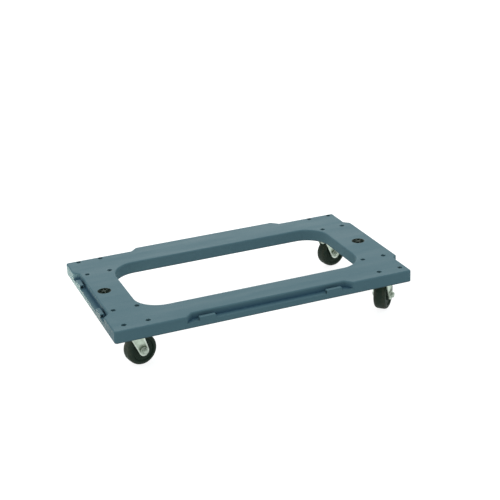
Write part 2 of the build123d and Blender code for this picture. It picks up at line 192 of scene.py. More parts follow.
class TrolleyStage(bpy.types.PropertyGroup):
    """Camera, lamps and floor."""

    eye: FloatVectorProperty(
        name="Eye",
        description="Where the camera stands",
        default=(-0.939, -2.50883, 1.2712),
        subtype="TRANSLATION",
        size=3,
    )
    heading: angle_property("Heading", "Camera turned from +Y towards +X", 21.2925)
    drop: angle_property("Drop", "Camera tipped down", 22.436)
    roll: angle_property("Roll", "Camera rolled about its own axis", -2.4856)
    lens: FloatProperty(
        name="Lens", description="Focal length in millimetres", default=84.264, min=1
    )
    key: power_property("Key lamp", "Power of the lamp behind", 80.0)
    top: power_property("Top lamp", "Power of the lamp overhead", 12.0)
    side: power_property("Side lamp", "Power of the lamp on the left", 6.5)
    low: power_property("Low lamp", "Power of the long lamp by the floor", 0.85)
    ambient: FloatProperty(
        name="Ambient", description="Strength of the room's light", default=0.82, min=0
    )
    bounce: share_property("Bounce", "How much light the floor throws on the object", 0.72)
    floor_grey: share_property("Floor grey", "Lit part of the floor that is seen", 0.34)
    floor_glow: share_property("Floor glow", "Even part of the floor that is seen", 0.86)


# --- Meshes -------------------------------------------

# Angle past which an edge is sharp
SHARP = math.radians(32)


def frame_of(axis, reference):
    """An axis as a unit vector, and two more square to it and to each other.

    The first of those two points as nearly as can be along the reference.
    """
    axis = np.array(Vector(axis).normalized())
    first = np.array(reference, float)
    first = first - axis * (first @ axis)
    parallel = 1e-6
    if np.linalg.norm(first) < parallel:
        first = np.array((1.0, 0, 0)) - axis * axis[0]
    first = first / np.linalg.norm(first)
    return axis, first, np.cross(axis, first)


def wrapped_quads(rings, steps, closed):
    """Quads of a grid of rings, each ring closed on itself.

    Where closed is true, the last ring is joined to the first as well.
    """
    last = rings if closed else rings - 1
    ring, step = np.meshgrid(np.arange(last), np.arange(steps), indexing="ij")
    after, beside = (ring + 1) % rings, (step + 1) % steps
    corners = (
        ring * steps + step,
        ring * steps + beside,
        after * steps + beside,
        after * steps + step,
    )
    return np.stack([corner.ravel() for corner in corners], 1)


def mesh_from_arrays(name, points, quads):
    """A mesh from an array of points and an array of quads."""
    mesh = bpy.data.meshes.new(name)
    mesh.vertices.add(len(points))
    mesh.vertices.foreach_set("co", np.ascontiguousarray(points, np.float32).ravel())
    mesh.loops.add(quads.size)
    mesh.loops.foreach_set("vertex_index", np.ascontiguousarray(quads, np.int32).ravel())
    mesh.polygons.add(len(quads))
    mesh.polygons.foreach_set("loop_start", np.arange(0, quads.size, 4, dtype=np.int32))
    mesh.polygons.foreach_set("use_smooth", np.ones(len(quads), bool))
    mesh.update(calc_edges=True)
    mesh.validate()
    return mesh


def weld(mesh):
    """Merges points that coincide, such as a pole's, and turns every face outwards."""
    distance = 1e-7
    work = bmesh.new()
    work.from_mesh(mesh)
    bmesh.ops.remove_doubles(work, verts=work.verts, dist=distance)
    bmesh.ops.dissolve_degenerate(work, edges=work.edges, dist=distance)
    bmesh.ops.recalc_face_normals(work, faces=work.faces)
    work.to_mesh(mesh)
    work.free()


def place(mesh, material, body, nodes):
    """Makes the object of a finished mesh, riding on its body in place of the nodes."""
    mesh.set_sharp_from_angle(angle=SHARP)
    mesh.materials.append(material)
    piece = bpy.data.objects.new(mesh.name, mesh)
    bpy.context.scene.collection.objects.link(piece)
    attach(piece, body)
    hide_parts(*nodes)


def turned_points(radii, heights, origin, axis, reference=UP):
    """Points of a turned surface.

    For ring i and step j round the axis, the point is origin + axis * heights[i, j] plus
    radii[i, j] along the direction that step j has turned to.
    """
    axis, first, second = frame_of(axis, reference)
    angle = np.linspace(0, 2 * np.pi, radii.shape[1], endpoint=False)
    spoke = np.cos(angle)[:, None] * first + np.sin(angle)[:, None] * second
    points = np.array(origin, float) + heights[..., None] * axis + radii[..., None] * spoke[None]
    return points.reshape(-1, 3)


def turned_mesh(name, radii, heights, origin, axis, closed=False, reference=UP):
    """Mesh of a turned surface, its poles welded; closed joins its last ring to its first."""
    points = turned_points(radii, heights, origin, axis, reference)
    mesh = mesh_from_arrays(name, points, wrapped_quads(*radii.shape, closed))
    weld(mesh)
    return mesh


def round_rings(section, steps):
    """Radii and heights of a round section: each point of the section is one ring."""
    section = np.array(section, float)
    return np.repeat(section[:, :1], steps, 1), np.repeat(section[:, 1:], steps, 1)


def arc(centre_radius, centre_height, radius, start, end, count):
    """Points of an arc in a section, its angles in degrees from outwards to upwards."""
    angle = np.radians(np.linspace(start, end, count))
    radii = centre_radius + radius * np.cos(angle)
    return np.stack([radii, centre_height + radius * np.sin(angle)], 1)


def ring_mesh(name, rings, origin, axis, closed=False, reference=UP):
    """Mesh of a turned surface from its rings, each a pair of radii and heights."""
    radii, heights = (np.stack(part) for part in zip(*rings))
    return turned_mesh(name, radii, heights, origin, axis, closed, reference)


def joined(name, meshes):
    """One mesh from several."""
    work = bmesh.new()
    for mesh in meshes:
        work.from_mesh(mesh)
        bpy.data.meshes.remove(mesh)
    result = bpy.data.meshes.new(name)
    work.to_mesh(result)
    work.free()
    return result


# --- Materials ----------------------------------------

# Sockets of a Mix node that mixes colours: its two colours, and its result
MIX_FIRST, MIX_SECOND, MIX_RESULT = 6, 7, 2


def scaled(colour, factor):
    """A colour made darker, or lighter."""
    return tuple(part * factor for part in colour)


class Shader:
    """A new material's node tree, with short ways to add and join nodes."""

    def __init__(self, name):
        self.material = bpy.data.materials.new(name)
        self.material.use_nodes = True
        self.tree = self.material.node_tree
        self.surface = self.tree.nodes["Principled BSDF"]
        self.place = self.node("ShaderNodeTexCoord").outputs["Object"]

    def node(self, kind, settings=None, **inputs):
        """Adds a node. Settings are its properties; inputs are values or sockets to join to it."""
        made = self.tree.nodes.new(kind)
        for key, value in (settings or {}).items():
            setattr(made, key, value)
        for key, value in inputs.items():
            self.feed(made.inputs[key.replace("_", " ")], value)
        return made

    def feed(self, socket, value):
        """Joins a socket to another, or sets its value."""
        if isinstance(value, bpy.types.NodeSocket):
            self.tree.links.new(value, socket)
        elif socket.type == "RGBA" and len(value) == 3:
            socket.default_value = (*value, 1)
        else:
            socket.default_value = value

    def noise(self, scale, detail=2.0, roughness=0.5, stretch=None, turn=0.0):
        """Noise between 0 and 1; scale is about how many features there are to a metre.

        Stretch multiplies it along each axis, and turn turns the pattern about the upright.
        """
        at = self.place
        if stretch is not None:
            at = self.node(
                "ShaderNodeMapping", Vector=at, Rotation=(0, 0, turn), Scale=stretch
            ).outputs[0]
        return self.node(
            "ShaderNodeTexNoise", Vector=at, Scale=scale, Detail=detail, Roughness=roughness
        ).outputs["Fac"]

    def levels(self, value, low, high, out_low=0.0, out_high=1.0):
        """Maps low..high to out_low..out_high, and holds the ends."""
        return self.node(
            "ShaderNodeMapRange",
            Value=value,
            From_Min=low,
            From_Max=high,
            To_Min=out_low,
            To_Max=out_high,
        ).outputs["Result"]

    def mix(self, factor, first, second):
        """Mixes two colours."""
        made = self.node("ShaderNodeMix", {"data_type": "RGBA"})
        self.feed(made.inputs["Factor"], factor)
        self.feed(made.inputs[MIX_FIRST], first)
        self.feed(made.inputs[MIX_SECOND], second)
        return made.outputs[MIX_RESULT]

    def over(self, base, colour, pattern, low, high, share=1.0):
        """Lays a colour over a base: none where a pattern is low, and its share from high on."""
        return self.mix(self.levels(pattern, low, high, 0.0, share), base, colour)

    def step(self, kind, operation, *values):
        """Adds a node for one operation, and returns its outputs."""
        made = self.node(kind, {"operation": operation})
        for socket, value in zip(made.inputs, values):
            self.feed(socket, value)
        return made.outputs

    def maths(self, operation, *values):
        """One step of arithmetic."""
        return self.step("ShaderNodeMath", operation, *values)["Value"]

    def vector_maths(self, operation, *values):
        """One step of vector arithmetic: its outputs are named Vector and Value."""
        return self.step("ShaderNodeVectorMath", operation, *values)

    def parts(self, vector):
        """A vector's X, Y and Z."""
        return self.node("ShaderNodeSeparateXYZ", Vector=vector).outputs

    def bump(self, *layers):
        """Bumps the surface by layers of (height, strength, depth in metres)."""
        normal = None
        for height, strength, depth in layers:
            made = self.node("ShaderNodeBump", Height=height, Strength=strength, Distance=depth)
            if normal is not None:
                self.feed(made.inputs["Normal"], normal)
            normal = made.outputs[0]
        self.feed(self.surface.inputs["Normal"], normal)

    def set(self, **values):
        """Sets or joins inputs of the surface."""
        for key, value in values.items():
            self.feed(self.surface.inputs[key.replace("_", " ")], value)


def corner_painted_shade(shade, finish, low, high):
    """Painted shade at the foot of the recesses' walls, where shade falls: 1 where they meet the
    ledge, 0 out of reach.

    In plan a wall runs straight at the recess's depth and then at 45 degrees to the face, so a
    point lies max(inward - depth, (inward + |along| - half length - depth) / sqrt 2) beyond it.
    The distance from its foot is the length of (beyond, up), with up counted from the ledge.
    The painted shade fades out where a recess opens in the face.
    """
    full_reach = 2 * MM
    fade_start, fade_end = 1 * MM, 6 * MM
    axes = shade.parts(shade.place)
    ledge = high.z - finish.ledge_drop
    walls = (
        ("Y", "X", low.y, finish.side_recess, finish.side_recess_length / 2),
        ("X", "Y", low.x, finish.end_recess, finish.end_recess_length / 2),
    )
    up = shade.maths("SUBTRACT", axes["Z"], ledge)
    painted_dark = None
    for axis, along, face, depth, half in walls:
        inward = shade.maths("SUBTRACT", axes[axis], face)
        straight = shade.maths("SUBTRACT", inward, depth)
        slanted = shade.maths("ADD", inward, shade.maths("ABSOLUTE", axes[along]))
        slanted = shade.maths("SUBTRACT", slanted, half + depth)
        slanted = shade.maths("DIVIDE", slanted, math.sqrt(2))
        beyond = shade.maths("MAXIMUM", straight, slanted)
        offset = shade.node("ShaderNodeCombineXYZ", X=beyond, Y=up).outputs[0]
        away = shade.vector_maths("LENGTH", offset)["Value"]
        near = shade.levels(away, full_reach, finish.painted_dark_reach, 1.0, 0.0)
        near = shade.maths("MULTIPLY", near, shade.levels(inward, fade_start, fade_end))
        painted_dark = near if painted_dark is None else shade.maths("MAXIMUM", painted_dark, near)
    return painted_dark


def skirt_painted_shade(shade, finish, foot):
    """Painted shade on the skirt's lower edge, where its chamfer lies in shade: its share at the
    edge, none above a low band.
    """
    height = shade.parts(shade.place)["Z"]
    start, end = foot + finish.skirt_band / 2, foot + finish.skirt_band
    return shade.levels(height, start, end, finish.skirt_shade_share, 0.0)


def deck_material(finish):
    """Structural foam: swirls, flow streaks, fine grain, a few scuffs, and painted shade in the
    recess corners and on the skirt's foot.
    """
    shade = Shader("slate_deck")
    swirl = shade.noise(5.0, detail=4.0, roughness=0.55)
    streak = shade.noise(14.0, detail=5.0, roughness=0.6, stretch=(0.35, 2.2, 1.0), turn=0.12)
    speck = shade.noise(420.0, detail=2.0)
    scuff = shade.noise(60.0, detail=6.0, roughness=0.7, stretch=(0.25, 3.0, 1.0), turn=0.5)
    scratch = shade.noise(55.0, detail=3.0, roughness=0.6, stretch=(4.0, 0.12, 1.0), turn=0.35)
    base = shade.over(finish.deck, finish.deck_deep, swirl, 0.35, 0.7, share=0.35)
    base = shade.over(base, finish.deck_deep, streak, 0.45, 0.75, share=0.15)
    base = shade.over(base, finish.deck_pale, speck, 0.55, 0.8, share=0.25)
    base = shade.over(base, finish.deck_pale, scuff, 0.62, 0.78, share=0.18)
    base = shade.over(base, finish.deck_pale, scratch, 0.7, 0.76, share=0.25)
    low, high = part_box("deck")
    # Painted shade in the recesses' corners.
    painted_dark = shade.maths("MULTIPLY", corner_painted_shade(shade, finish, low, high), finish.painted_dark)
    base = shade.mix(painted_dark, base, finish.deck_painted_shade)
    # Painted shade on the skirt's foot, where its chamfer lies in shade.
    base = shade.mix(skirt_painted_shade(shade, finish, low.z), base, finish.skirt_painted_shade)
    rough = shade.levels(streak, 0.3, 0.7, finish.roughness - 0.06, finish.roughness + 0.08)
    grain = shade.noise(1 / finish.grain, detail=3.0, roughness=0.6)
    peel = shade.noise(70.0, detail=2.0)
    shade.bump((peel, 0.25, 0.8 * MM), (grain, 0.16, 0.12 * MM), (scratch, 0.12, 0.2 * MM))
    shade.set(Base_Color=base, Roughness=rough, Specular_IOR_Level=0.16)
    return shade.material


def anchor_material(finish):
    """Glass-filled black plastic: fine grain with paler patches."""
    shade = Shader("anchor_plastic")
    mottle = shade.noise(180.0, detail=4.0)
    base = shade.over(finish.anchor, scaled(finish.anchor, 2.2), mottle, 0.45, 0.75, share=0.5)
    grain = shade.noise(1500.0, detail=2.0)
    shade.bump((grain, 0.35, 0.12 * MM))
    rough = shade.levels(mottle, 0.3, 0.7, 0.62, 0.78)
    shade.set(Base_Color=base, Roughness=rough, Specular_IOR_Level=0.08)
    return shade.material


def axle_painted_light(shade, metal, axle):
    """How much painted dark reflection a leg has round its axle, and how much painted highlight its
    raised border has.

    The distance from the axle's line is the length of (point - centre) x axis. The painted dark
    reflection is full in its core, gone at its reach and thin below the axle. A point is on a
    raised border where it lies farther from the wheel's middle, along the axle, than the panels do.
    """
    thin_height, thick_height, thin = -8 * MM, 6 * MM, 0.1
    border_start, border_end = metal.panel + 0.3 * MM, metal.panel + 0.7 * MM
    centre, axis = axle
    offset = shade.vector_maths("SUBTRACT", shade.place, centre)["Vector"]
    square = shade.vector_maths("CROSS_PRODUCT", offset, axis)["Vector"]
    away = shade.vector_maths("LENGTH", square)["Value"]
    along = shade.vector_maths("DOT_PRODUCT", offset, axis)["Value"]
    outward = shade.maths("ABSOLUTE", along)
    painted_dark = shade.levels(away, metal.painted_dark_core, metal.painted_dark_reach, 1.0, 0.0)
    height = shade.parts(offset)["Z"]
    thickness = shade.levels(height, thin_height, thick_height, thin, 1.0)
    painted_dark = shade.maths("MULTIPLY", painted_dark, thickness)
    return painted_dark, shade.levels(outward, border_start, border_end)


def zinc_material(name, bright, dull, roughness=0.44, metal=None, axle=None):
    """Zinc plating: cloudy patches, faint rolling lines and a few dull spots.

    With an axle, given as its centre and direction, the legs get a painted dark reflection round it
    and a painted highlight on their raised borders.
    """
    shade = Shader(name)
    cloud = shade.noise(95.0, detail=4.0, roughness=0.6)
    rolling = shade.noise(300.0, detail=3.0, stretch=(1.0, 1.0, 0.06))
    spots = shade.noise(620.0, detail=3.0)
    base = shade.over(bright, dull, cloud, 0.4, 0.68, share=0.75)
    base = shade.over(base, scaled(dull, 0.6), spots, 0.62, 0.75, share=0.4)
    if axle:
        painted_dark, border = axle_painted_light(shade, metal, axle)
        blotch = shade.levels(shade.noise(210.0, detail=3.0), 0.35, 0.65, 0.6, 1.0)
        # Painted dark reflection round the axle, in blotches.
        base = shade.mix(shade.maths("MULTIPLY", painted_dark, blotch), base, metal.painted_dark)
        # Painted highlight on the raised borders.
        base = shade.mix(shade.maths("MULTIPLY", border, 0.6), base, metal.painted_border_highlight)
    rough = shade.levels(cloud, 0.3, 0.75, roughness - 0.07, roughness + 0.16)
    shade.bump((rolling, 0.12, 0.1 * MM), (spots, 0.15, 0.08 * MM))
    shade.set(Base_Color=base, Roughness=rough, Metallic=0.85)
    return shade.material


def fastener_material(metal):
    """The zinc that every nut and bolt shares."""
    name = "zinc_fastener"
    made = bpy.data.materials.get(name)
    return made or zinc_material(name, metal.fastener, metal.zinc_dull, roughness=0.42)


def rubber_material(shape):
    """Solid rubber: fine grain with small nicks, dusty where the attribute dust is 1."""
    shade = Shader("wheel_rubber")
    tread = shade.node("ShaderNodeAttribute", {"attribute_name": "dust"}).outputs["Fac"]
    mottle = shade.noise(120.0, detail=5.0, roughness=0.65)
    nicks = shade.noise(480.0, detail=3.0)
    dusty = shade.maths("MULTIPLY", tread, shade.levels(mottle, 0.4, 0.7, 0.1, 0.6))
    base = shade.over(shape.rubber, shape.dust, mottle, 0.4, 0.7, share=0.2)
    base = shade.mix(dusty, base, shape.dust)
    shade.bump((mottle, 0.12, 0.3 * MM), (nicks, 0.3, 0.15 * MM))
    rough = shade.levels(mottle, 0.3, 0.7, 0.45, 0.65)
    shade.set(Base_Color=base, Roughness=rough, Specular_IOR_Level=0.12)
    return shade.material


def plain_steel_material(name, colour, roughness=0.3):
    """Ground steel with faint turning lines."""
    shade = Shader(name)
    lines = shade.noise(900.0, detail=2.0)
    base = shade.over(colour, scaled(colour, 0.8), lines, 0.3, 0.7)
    shade.bump((lines, 0.1, 0.05 * MM))
    rough = shade.levels(lines, 0.3, 0.7, roughness - 0.05, roughness + 0.1)
    shade.set(Base_Color=base, Roughness=rough, Metallic=1.0)
    return shade.material


def dress(node, material):
    """Gives a CAD node its finish."""
    slots = frame["nodes"][node].data.materials
    slots.clear()
    slots.append(material)


# --- Where the casters are ----------------------------


def axle_line(caster):
    """Centre and direction of a caster's axle; the direction points at its head's side."""
    spin = next(joint for joint in frame["joints"] if joint["name"] == f"{caster}_wheel_spin")
    return Vector(spin["pos_m"]), Vector(spin["axis"]).normalized()


def axle_reach(node, centre, axis):
    """How far a CAD node reaches along an axle, from its lowest to its highest point."""
    vertices = frame["nodes"][node].data.vertices
    points = np.empty(len(vertices) * 3)
    vertices.foreach_get("co", points)
    along = (points.reshape(-1, 3) - np.array(centre)) @ np.array(axis)
    return float(along.min()), float(along.max())


def bolt_places(caster, flats):
    """Plan places of a caster's four bolts, and the bolts' lowest and highest points.

    A head's flats face along Y, so its corners reach out along X.
    """
    low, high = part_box(f"{caster}_mounting_bolts")
    across_x = flats / math.sqrt(3)
    across_y = flats / 2
    xs = (low.x + across_x, high.x - across_x)
    ys = (low.y + across_y, high.y - across_y)
    return [Vector((x, y, 0)) for x in xs for y in ys], low.z, high.z


# --- Operators ----------------------------------------


class TROLLEY_OT_finish_deck(bpy.types.Operator):
    """Finishes the moulded deck and its two rope anchors"""

    bl_idname = "trolley.finish_deck"
    bl_label = "Deck and rope anchors"

    def execute(self, context):
        finish = context.scene.trolley_plastic
        dress("deck", deck_material(finish))
        black = anchor_material(finish)
        dress("rope_anchor_left", black)
        dress("rope_anchor_right", black)
        return {"FINISHED"}


class TROLLEY_OT_finish_steel(bpy.types.Operator):
    """Finishes the plates, kingpins, forks and sleeves of the casters"""

    bl_idname = "trolley.finish_steel"
    bl_label = "Plates, kingpins, forks and sleeves"

    def execute(self, context):
        metal = context.scene.trolley_metal
        zinc = zinc_material("zinc_plate", metal.zinc, metal.zinc_dull)
        ground = plain_steel_material("ground_steel", metal.bare)
        for caster in CASTERS:
            for part in ("plate", "kingpin"):
                dress(f"{caster}_{part}", zinc)
            axle = axle_line(caster)
            legs = zinc_material(
                f"{caster}_legs", metal.zinc, metal.zinc_dull, metal=metal, axle=axle
            )
            dress(f"{caster}_fork", legs)
            dress(f"{caster}_axle_sleeve", ground)
        return {"FINISHED"}


class TROLLEY_OT_add_wheels(bpy.types.Operator):
    """Adds the four wheels: crowned tread, rounded shoulders, sunk web and hub boss"""

    bl_idname = "trolley.add_wheels"
    bl_label = "Wheels"

    def half_section(self, shape):
        """One half of a wheel's section, from the bore out to the middle of the tread.

        A low flat ring stands on the web round the hub. The tread falls away from its middle as
        the square of the distance along the axle, and a thin parting line stands on that middle.
        """
        side, hub = shape.half_width, shape.half_width + shape.hub_stand
        web = side - shape.web
        fillet, bevel, edge = 1.2 * MM, 0.5 * MM, 1.0 * MM
        hub_foot, rim_edge = shape.hub + 1.56 * MM, shape.rim + 1.7 * MM
        ring_foot, ring_edge = shape.hub + 4.6 * MM, shape.hub + 4.9 * MM
        ring_far_edge, ring_far_foot = shape.hub + 6.1 * MM, shape.hub + 6.4 * MM
        ring = web + 0.35 * MM
        line_height, line_edge, line_foot = 0.15 * MM, 0.15 * MM, 0.35 * MM
        shoulder_start, shoulder_end = side - shape.shoulder, 0.9 * MM
        beside_line = shape.radius - line_height
        middle = np.linspace(shoulder_start, shoulder_end, 7)
        tread = beside_line - (shape.crown - line_height) * (middle / shoulder_start) ** 2
        shoulder = shape.radius - shape.crown - shape.shoulder
        return np.concatenate([
            [(shape.bore, hub - bevel), (shape.bore + bevel, hub)],
            arc(shape.hub - edge, hub - edge, edge, 90, 0, 5),
            arc(hub_foot, web + fillet, fillet, 180, 270, 6),
            [(ring_foot, web), (ring_edge, ring), (ring_far_edge, ring), (ring_far_foot, web)],
            arc(shape.rim - fillet, web + fillet, fillet, 270, 360, 6),
            arc(rim_edge, side - edge, edge, 180, 90, 5),
            arc(shoulder, shoulder_start, shape.shoulder, 90, 6, 12),
            np.stack([tread, middle], 1),
            [(beside_line, line_foot), (shape.radius, line_edge)],
        ])

    def dust(self, shape, radii, heights):
        """Share of dust at each point: full on the shoulders and none on the wheel's sides.

        It rises with the radius, and falls towards the middle of the tread with the distance
        along the axle.
        """
        reach, least = 1.1 * shape.shoulder, 0.12
        rise = np.clip((radii - shape.radius + reach) / shape.shoulder, 0, 1)
        flank = np.clip(np.abs(heights) / (shape.half_width - shape.shoulder), 0, 1)
        return (rise * (least + (1 - least) * flank**4)).astype(np.float32)

    def execute(self, context):
        shape = context.scene.trolley_wheels
        rubber = rubber_material(shape)
        half = self.half_section(shape)
        section = np.concatenate([half, half[::-1] * (1, -1)])
        radii, heights = round_rings(section, shape.segments)
        quads = wrapped_quads(*radii.shape, True)
        dust = self.dust(shape, radii, heights)
        for caster in CASTERS:
            centre, axis = axle_line(caster)
            points = turned_points(radii, heights, centre, axis)
            mesh = mesh_from_arrays(f"{caster}_solid_wheel", points, quads)
            mesh.attributes.new("dust", "FLOAT", "POINT").data.foreach_set("value", dust.ravel())
            weld(mesh)
            place(mesh, rubber, f"{caster}_wheel", [f"{caster}_wheel"])
        return {"FINISHED"}


# Steps round a hexagon and round a shank
HEX_STEPS = 72
SHANK_STEPS = 40

# Slope at which a hexagon's corners are turned off
CORNER_SLOPE = math.tan(math.radians(30))


def hexagon_radius(flats):
    """Distance from the centre to a hexagon's side at each step round it.

    A side seen at angle a from its middle is flats / 2 / cos(a) away.
    """
    angle = np.linspace(0, 2 * np.pi, HEX_STEPS, endpoint=False)
    one_side = np.pi / 3
    from_middle = np.mod(angle + one_side / 2, one_side) - one_side / 2
    return flats / 2 / np.cos(from_middle)


def flange_rings(radius, height):
    """Rings of a round flange, from its foot to the top of its upright rim."""
    one = np.ones(HEX_STEPS)
    rim, foot_bevel = height * 0.5, 0.3 * MM
    top_drop, top_inset = 0.2 * MM, 0.25 * MM
    return [
        ((radius - foot_bevel) * one, 0 * one),
        (radius * one, foot_bevel * one),
        (radius * one, (rim - top_drop) * one),
        ((radius - top_inset) * one, rim * one),
    ]


def hex_head(flats, height, origin, axis, reference=UP, flange=None):
    """A hexagon head with its corners turned off and a faint dish on top.

    Where the side is d farther out than the top's circle, the top edge drops by d times the
    slope. A flange, given as its radius and height, stands under the hexagon.
    """
    foot_size, foot_height, top = 0.97, flats * 0.02, flats * 0.48
    dish_size, dish_rim, dish_middle = 0.8, 0.97, 0.95
    side = hexagon_radius(flats)
    circle = np.full(HEX_STEPS, top)
    flat = np.zeros(HEX_STEPS)
    if flange:
        foot = [*flange_rings(*flange), (side, flat + flange[1])]
    else:
        foot = [(side * foot_size, flat), (side, flat + foot_height)]
    rings = [
        (flat, flat),
        *foot,
        (side, height - (side - circle) * CORNER_SLOPE),
        (circle, flat + height),
        (circle * dish_size, flat + height * dish_rim),
        (flat, flat + height * dish_middle),
    ]
    return ring_mesh("head", rings, origin, axis, reference=reference)


def lock_nut(name, flats, height, bore, collar, origin, axis, reference=UP, flange=None):
    """A hexagon nut whose far end is a round collar rolled over a nylon ring.

    A flange, given as its radius and height, stands under the hexagon.
    """
    side = hexagon_radius(flats)
    one = np.ones(HEX_STEPS)
    seat, shoulder = flats * 0.47, flats * 0.49
    collar_foot = height * (1 - collar)
    collar_out, nylon_in = flats * 0.46, bore * 1.28
    roll = (collar_out - nylon_in) * 0.35
    collar_gap, nylon_top = 0.1 * MM, height - 0.15 * MM
    nylon_edge, bore_end = height - 0.5 * MM, height - 0.7 * MM
    if flange:
        foot = [*flange_rings(*flange), (side, flange[1] * one)]
    else:
        foot = [(seat * one, 0 * one), (side, (side - seat) * CORNER_SLOPE)]
    rings = [
        (bore * one, 0 * one),
        *foot,
        (side, collar_foot - (side - shoulder) * CORNER_SLOPE),
        (shoulder * one, collar_foot * one),
        (collar_out * one, (collar_foot + collar_gap) * one),
        (collar_out * one, (height - roll) * one),
        ((collar_out - roll * 0.35) * one, (height - roll * 0.3) * one),
        ((collar_out - roll) * one, height * one),
        ((nylon_in + roll * 0.6) * one, nylon_top * one),
        (nylon_in * one, nylon_edge * one),
        (bore * one, bore_end * one),
    ]
    return ring_mesh(name, rings, origin, axis, closed=True, reference=reference)


def threaded_shank(radius, plain, length, pitch, origin, axis):
    """A shank that is plain first and threaded to its end, which is bevelled.

    On the thread the radius falls by a triangle wave of (height / pitch - turn / full turn).
    """
    rows_per_turn, fewest_rows = 8, 4
    thread_depth, bevel_length, bevel_depth = pitch * 0.42, radius * 0.25, radius * 0.2
    thread_rows = max(fewest_rows, int((length - plain) / pitch * rows_per_turn))
    rows = np.concatenate([[0.0, plain], np.linspace(plain, length, thread_rows)[1:]])
    turn = np.linspace(0, 1, SHANK_STEPS, endpoint=False)
    phase = np.mod(rows[:, None] / pitch - turn[None], 1.0)
    depth = thread_depth * (1 - np.abs(2 * phase - 1))
    fade = np.clip((rows - plain) / pitch, 0, 1)[:, None]
    bevel = np.clip(1 - (length - rows) / bevel_length, 0, 1)[:, None] * bevel_depth
    radii = radius - depth * fade - bevel
    heights = np.repeat(rows[:, None], SHANK_STEPS, 1)
    shut = np.zeros((1, SHANK_STEPS))
    radii = np.concatenate([shut, radii, shut])
    heights = np.concatenate([heights[:1], heights, heights[-1:]])
    return turned_mesh("shank", radii, heights, origin, axis)


class TROLLEY_OT_add_deck_fasteners(bpy.types.Operator):
    """Adds the hexagon bolts that hold the casters, and their lock nuts"""

    bl_idname = "trolley.add_deck_fasteners"
    bl_label = "Deck bolts and nuts"

    def execute(self, context):
        shape = context.scene.trolley_fasteners
        zinc = fastener_material(context.scene.trolley_metal)
        flats, radius, pitch, collar = shape.deck_flats, shape.deck_shank, shape.pitch, shape.collar
        across = Vector((0, 1, 0))
        thread_over_nut = 3 * MM
        for caster in CASTERS:
            places, low, high = bolt_places(caster, flats)
            seat = high - shape.deck_head
            nut_low, nut_high = (corner.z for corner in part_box(f"{caster}_mounting_nuts"))
            height = nut_high - nut_low
            plain = seat - nut_high - thread_over_nut
            bolts, nuts = [], []
            for at in places:
                head_at, nut_at = at + UP * seat, at + UP * nut_high
                bolts += [
                    hex_head(flats, shape.deck_head, head_at, UP, across),
                    threaded_shank(radius, plain, seat - low, pitch, head_at, -UP),
                ]
                nuts.append(lock_nut("nut", flats, height, radius, collar, nut_at, -UP, across))
            bolt_mesh = joined(f"{caster}_deck_bolts", bolts)
            nut_mesh = joined(f"{caster}_deck_nuts", nuts)
            place(bolt_mesh, zinc, ROOT_BODY, [f"{caster}_mounting_bolts"])
            place(nut_mesh, zinc, ROOT_BODY, [f"{caster}_mounting_nuts"])
        return {"FINISHED"}


class TROLLEY_OT_add_axle_fasteners(bpy.types.Operator):
    """Adds the axle bolts and the lock nuts on them"""

    bl_idname = "trolley.add_axle_fasteners"
    bl_label = "Axle bolts and nuts"

    def execute(self, context):
        shape = context.scene.trolley_fasteners
        zinc = fastener_material(context.scene.trolley_metal)
        flats, radius, pitch, collar = shape.axle_flats, shape.axle_shank, shape.pitch, shape.collar
        flange = (shape.axle_flange, shape.axle_flange_height)
        height = shape.axle_head + shape.axle_flange_height
        thread_over_nut = 1 * MM
        for caster in CASTERS:
            body = f"{caster}_swivel"
            centre, axis = axle_line(caster)
            bolt_low, bolt_high = axle_reach(f"{caster}_axle_bolt", centre, axis)
            nut_low, nut_high = axle_reach(f"{caster}_axle_nut", centre, axis)
            seat = bolt_high - height
            head_at, nut_at = centre + axis * seat, centre + axis * nut_high
            plain = seat - nut_high - thread_over_nut
            head = hex_head(flats, height, head_at, axis, flange=flange)
            shank = threaded_shank(radius, plain, seat - bolt_low, pitch, head_at, -axis)
            bolt = joined(f"{caster}_axle", [head, shank])
            place(bolt, zinc, body, [f"{caster}_axle_bolt"])
            name, nut_height = f"{caster}_axle_lock_nut", nut_high - nut_low
            nut = lock_nut(name, flats, nut_height, radius, collar, nut_at, -axis, flange=flange)
            place(nut, zinc, body, [f"{caster}_axle_nut"])
        return {"FINISHED"}


